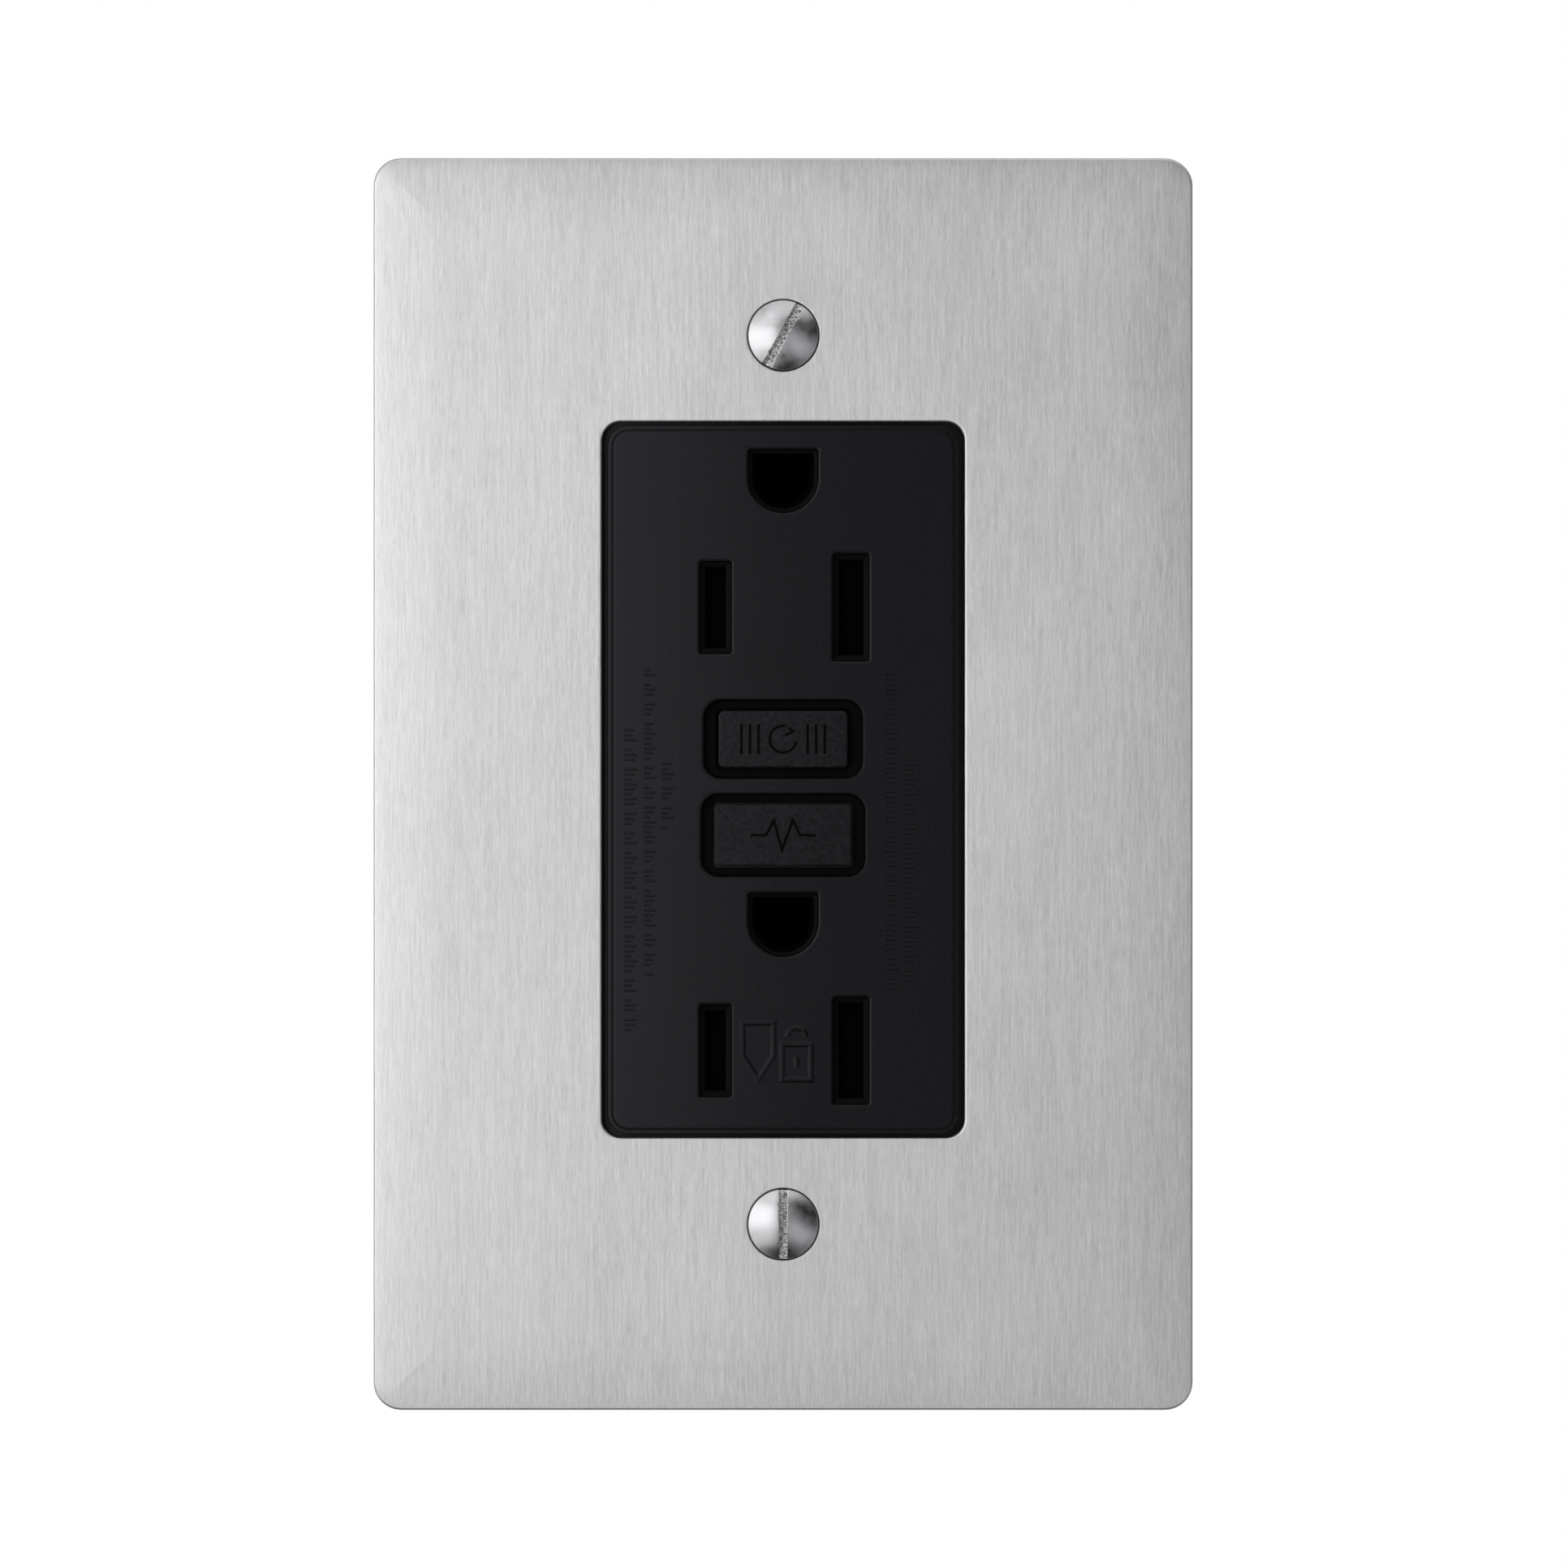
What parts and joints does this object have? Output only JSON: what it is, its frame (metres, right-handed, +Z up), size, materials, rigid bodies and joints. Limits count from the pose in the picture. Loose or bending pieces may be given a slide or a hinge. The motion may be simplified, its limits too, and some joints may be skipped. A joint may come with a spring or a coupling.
{
  "type": "wall plate cover with duplex receptacle",
  "caption": "Brushed steel wall plate held by two slotted screws over a black tamper-resistant duplex receptacle with reset and test buttons.",
  "frame": {"origin": "centre of the two mounting screws, on the wall plane that the plate's rim rests on", "axes": "+X to the right seen from the front, +Y into the wall, +Z up"},
  "size_m": [0.0768, 0.0345, 0.1174],
  "materials": {
    "brushed_steel": "brushed vertical grain, satin",
    "screw_steel": "polished, slightly worn",
    "black_plastic": "fine moulded grain",
    "black_button": "fine moulded grain, slightly smoother",
    "housing_plastic": "moulded, dull",
    "carrier_plastic": "moulded, dull",
    "shutter_plastic": "moulded, smooth",
    "white_plastic": "moulded nylon",
    "zinc_steel": "zinc plated",
    "brass": "rolled sheet",
    "nickel_brass": "nickel plated brass",
    "green_screw": "green passivated",
    "board": "solder mask over glass laminate",
    "chip": "moulded epoxy",
    "capacitor": "sleeved",
    "varistor": "dipped epoxy",
    "resistor": "lacquered",
    "ferrite": "wound core",
    "copper": "enamelled copper wire",
    "spring_steel": "drawn wire"
  },
  "bodies": {
    "root": {"wall_plate": "brushed_steel", "mounting_screws": "screw_steel", "screw_retainers": "white_plastic", "face_cover": "black_plastic", "mounting_strap": "zinc_steel", "middle_housing": "carrier_plastic", "rear_housing": "housing_plastic", "case_screws": "zinc_steel", "hot_bus": "brass", "neutral_bus": "nickel_brass", "hot_line_terminal": "brass", "neutral_line_terminal": "nickel_brass", "ground_contacts": "brass", "circuit_board": "board", "sensing_chip": "chip", "capacitors": "capacitor", "varistor": "varistor", "thyristor": "chip", "resistors": "resistor", "sense_core": "ferrite", "neutral_core": "ferrite", "core_holder": "white_plastic", "solenoid_bobbin": "white_plastic", "solenoid_coil": "copper", "plunger_spring": "spring_steel", "reset_spring": "spring_steel", "upper_shutter_spring": "spring_steel", "lower_shutter_spring": "spring_steel", "upper_shutter_carrier": "shutter_plastic", "lower_shutter_carrier": "shutter_plastic"},
    "reset": {"reset_button": "black_button", "reset_shaft": "spring_steel"},
    "test": {"test_button": "black_button"},
    "test_leaf": {"test_leaf": "brass"},
    "latch_block": {"latch_block": "white_plastic", "latch_spring": "spring_steel"},
    "latch_plate": {"latch_plate": "spring_steel"},
    "hot_arm": {"hot_arm": "brass"},
    "neutral_arm": {"neutral_arm": "nickel_brass"},
    "plunger": {"plunger": "zinc_steel"},
    "upper_hot_shutter": {"upper_hot_shutter": "shutter_plastic"},
    "upper_neutral_shutter": {"upper_neutral_shutter": "shutter_plastic"},
    "lower_hot_shutter": {"lower_hot_shutter": "shutter_plastic"},
    "lower_neutral_shutter": {"lower_neutral_shutter": "shutter_plastic"},
    "hot_load_clamp": {"hot_load_clamp": "zinc_steel"},
    "hot_load_screw": {"hot_load_screw": "brass"},
    "neutral_load_clamp": {"neutral_load_clamp": "zinc_steel"},
    "neutral_load_screw": {"neutral_load_screw": "nickel_brass"},
    "hot_line_clamp": {"hot_line_clamp": "zinc_steel"},
    "hot_line_screw": {"hot_line_screw": "brass"},
    "neutral_line_clamp": {"neutral_line_clamp": "zinc_steel"},
    "neutral_line_screw": {"neutral_line_screw": "nickel_brass"},
    "ground_clamp": {"ground_clamp": "zinc_steel"},
    "ground_screw": {"ground_screw": "green_screw"}
  },
  "joints": [
    {"name": "reset_travel", "type": "slide", "parent": "root", "child": "reset", "axis": [0, 1, 0], "range_m": [-0.0018, 0.0015], "stiffness_N_per_m": 400, "deforming": ["reset_spring"]},
    {"name": "test_travel", "type": "slide", "parent": "root", "child": "test", "axis": [0, 1, 0], "range_m": [0, 0.0013], "stiffness_N_per_m": 500},
    {"name": "test_leaf_bend", "type": "hinge", "parent": "root", "child": "test_leaf", "pos_m": [0.0072, 0.00545, -0.0052], "axis": [0, 0, -1], "range_deg": [0, 10.39], "stiffness_Nm_per_rad": 0.01},
    {"name": "latch_block_travel", "type": "slide", "parent": "root", "child": "latch_block", "axis": [0, 1, 0], "range_m": [0, 0.0022], "stiffness_N_per_m": 300},
    {"name": "hot_arm_swing", "type": "hinge", "parent": "root", "child": "hot_arm", "pos_m": [-0.0075, 0.01325, -0.01], "axis": [-1, 0, 0], "range_deg": [0, 9.18], "stiffness_Nm_per_rad": 0.01},
    {"name": "neutral_arm_swing", "type": "hinge", "parent": "root", "child": "neutral_arm", "pos_m": [0.0075, 0.01325, -0.01], "axis": [-1, 0, 0], "range_deg": [0, 9.18], "stiffness_Nm_per_rad": 0.01},
    {"name": "plunger_strike", "type": "slide", "parent": "root", "child": "plunger", "axis": [0, 0, -1], "range_m": [0, 0.002], "stiffness_N_per_m": 200, "deforming": ["plunger_spring"]},
    {"name": "latch_plate_slide", "type": "slide", "parent": "latch_block", "child": "latch_plate", "axis": [0, 0, -1], "range_m": [0, 0.002], "stiffness_N_per_m": 100, "deforming": ["latch_spring"]},
    {"name": "upper_hot_shutter_slide", "type": "slide", "parent": "root", "child": "upper_hot_shutter", "axis": [1, 0, 0], "range_m": [0, 0.0032], "stiffness_N_per_m": 60, "deforming": ["upper_shutter_spring"]},
    {"name": "upper_neutral_shutter_slide", "type": "slide", "parent": "root", "child": "upper_neutral_shutter", "axis": [-1, 0, 0], "range_m": [0, 0.0032], "stiffness_N_per_m": 60},
    {"name": "lower_hot_shutter_slide", "type": "slide", "parent": "root", "child": "lower_hot_shutter", "axis": [1, 0, 0], "range_m": [0, 0.0032], "stiffness_N_per_m": 60, "deforming": ["lower_shutter_spring"]},
    {"name": "lower_neutral_shutter_slide", "type": "slide", "parent": "root", "child": "lower_neutral_shutter", "axis": [-1, 0, 0], "range_m": [0, 0.0032], "stiffness_N_per_m": 60},
    {"name": "hot_load_clamp_slide", "type": "slide", "parent": "root", "child": "hot_load_clamp", "axis": [1, 0, 0], "range_m": [0, 0.002]},
    {"name": "hot_load_screw_turn", "type": "hinge", "parent": "hot_load_clamp", "child": "hot_load_screw", "pos_m": [-0.0181, 0.015, 0.022], "axis": [1, 0, 0], "range_deg": [0, 906.9]},
    {"name": "neutral_load_clamp_slide", "type": "slide", "parent": "root", "child": "neutral_load_clamp", "axis": [-1, 0, 0], "range_m": [0, 0.002]},
    {"name": "neutral_load_screw_turn", "type": "hinge", "parent": "neutral_load_clamp", "child": "neutral_load_screw", "pos_m": [0.0181, 0.015, 0.022], "axis": [-1, 0, 0], "range_deg": [0, 906.9]},
    {"name": "hot_line_clamp_slide", "type": "slide", "parent": "root", "child": "hot_line_clamp", "axis": [1, 0, 0], "range_m": [0, 0.002]},
    {"name": "hot_line_screw_turn", "type": "hinge", "parent": "hot_line_clamp", "child": "hot_line_screw", "pos_m": [-0.0181, 0.015, -0.022], "axis": [1, 0, 0], "range_deg": [0, 906.9]},
    {"name": "neutral_line_clamp_slide", "type": "slide", "parent": "root", "child": "neutral_line_clamp", "axis": [-1, 0, 0], "range_m": [0, 0.002]},
    {"name": "neutral_line_screw_turn", "type": "hinge", "parent": "neutral_line_clamp", "child": "neutral_line_screw", "pos_m": [0.0181, 0.015, -0.022], "axis": [-1, 0, 0], "range_deg": [0, 906.9]},
    {"name": "ground_clamp_slide", "type": "slide", "parent": "root", "child": "ground_clamp", "axis": [0, 0, 1], "range_m": [0, 0.0016]},
    {"name": "ground_screw_turn", "type": "hinge", "parent": "ground_clamp", "child": "ground_screw", "pos_m": [-0.009, 0.0052, -0.0391], "axis": [0, 0, 1], "range_deg": [0, 725.5]}
  ],
  "couplings": [
    {"joint": "test_leaf_bend", "follows": "test_travel", "rad_per_m": 138.89},
    {"joint": "hot_arm_swing", "follows": "latch_block_travel", "rad_per_m": 72.464},
    {"joint": "neutral_arm_swing", "follows": "latch_block_travel", "rad_per_m": 72.464},
    {"joint": "latch_plate_slide", "follows": "plunger_strike", "ratio": 1},
    {"joint": "upper_neutral_shutter_slide", "follows": "upper_hot_shutter_slide", "ratio": 1},
    {"joint": "lower_neutral_shutter_slide", "follows": "lower_hot_shutter_slide", "ratio": 1},
    {"joint": "hot_load_screw_turn", "follows": "hot_load_clamp_slide", "rad_per_m": 7913.3},
    {"joint": "neutral_load_screw_turn", "follows": "neutral_load_clamp_slide", "rad_per_m": 7913.3},
    {"joint": "hot_line_screw_turn", "follows": "hot_line_clamp_slide", "rad_per_m": 7913.3},
    {"joint": "neutral_line_screw_turn", "follows": "neutral_line_clamp_slide", "rad_per_m": 7913.3},
    {"joint": "ground_screw_turn", "follows": "ground_clamp_slide", "rad_per_m": 7913.3}
  ]
}
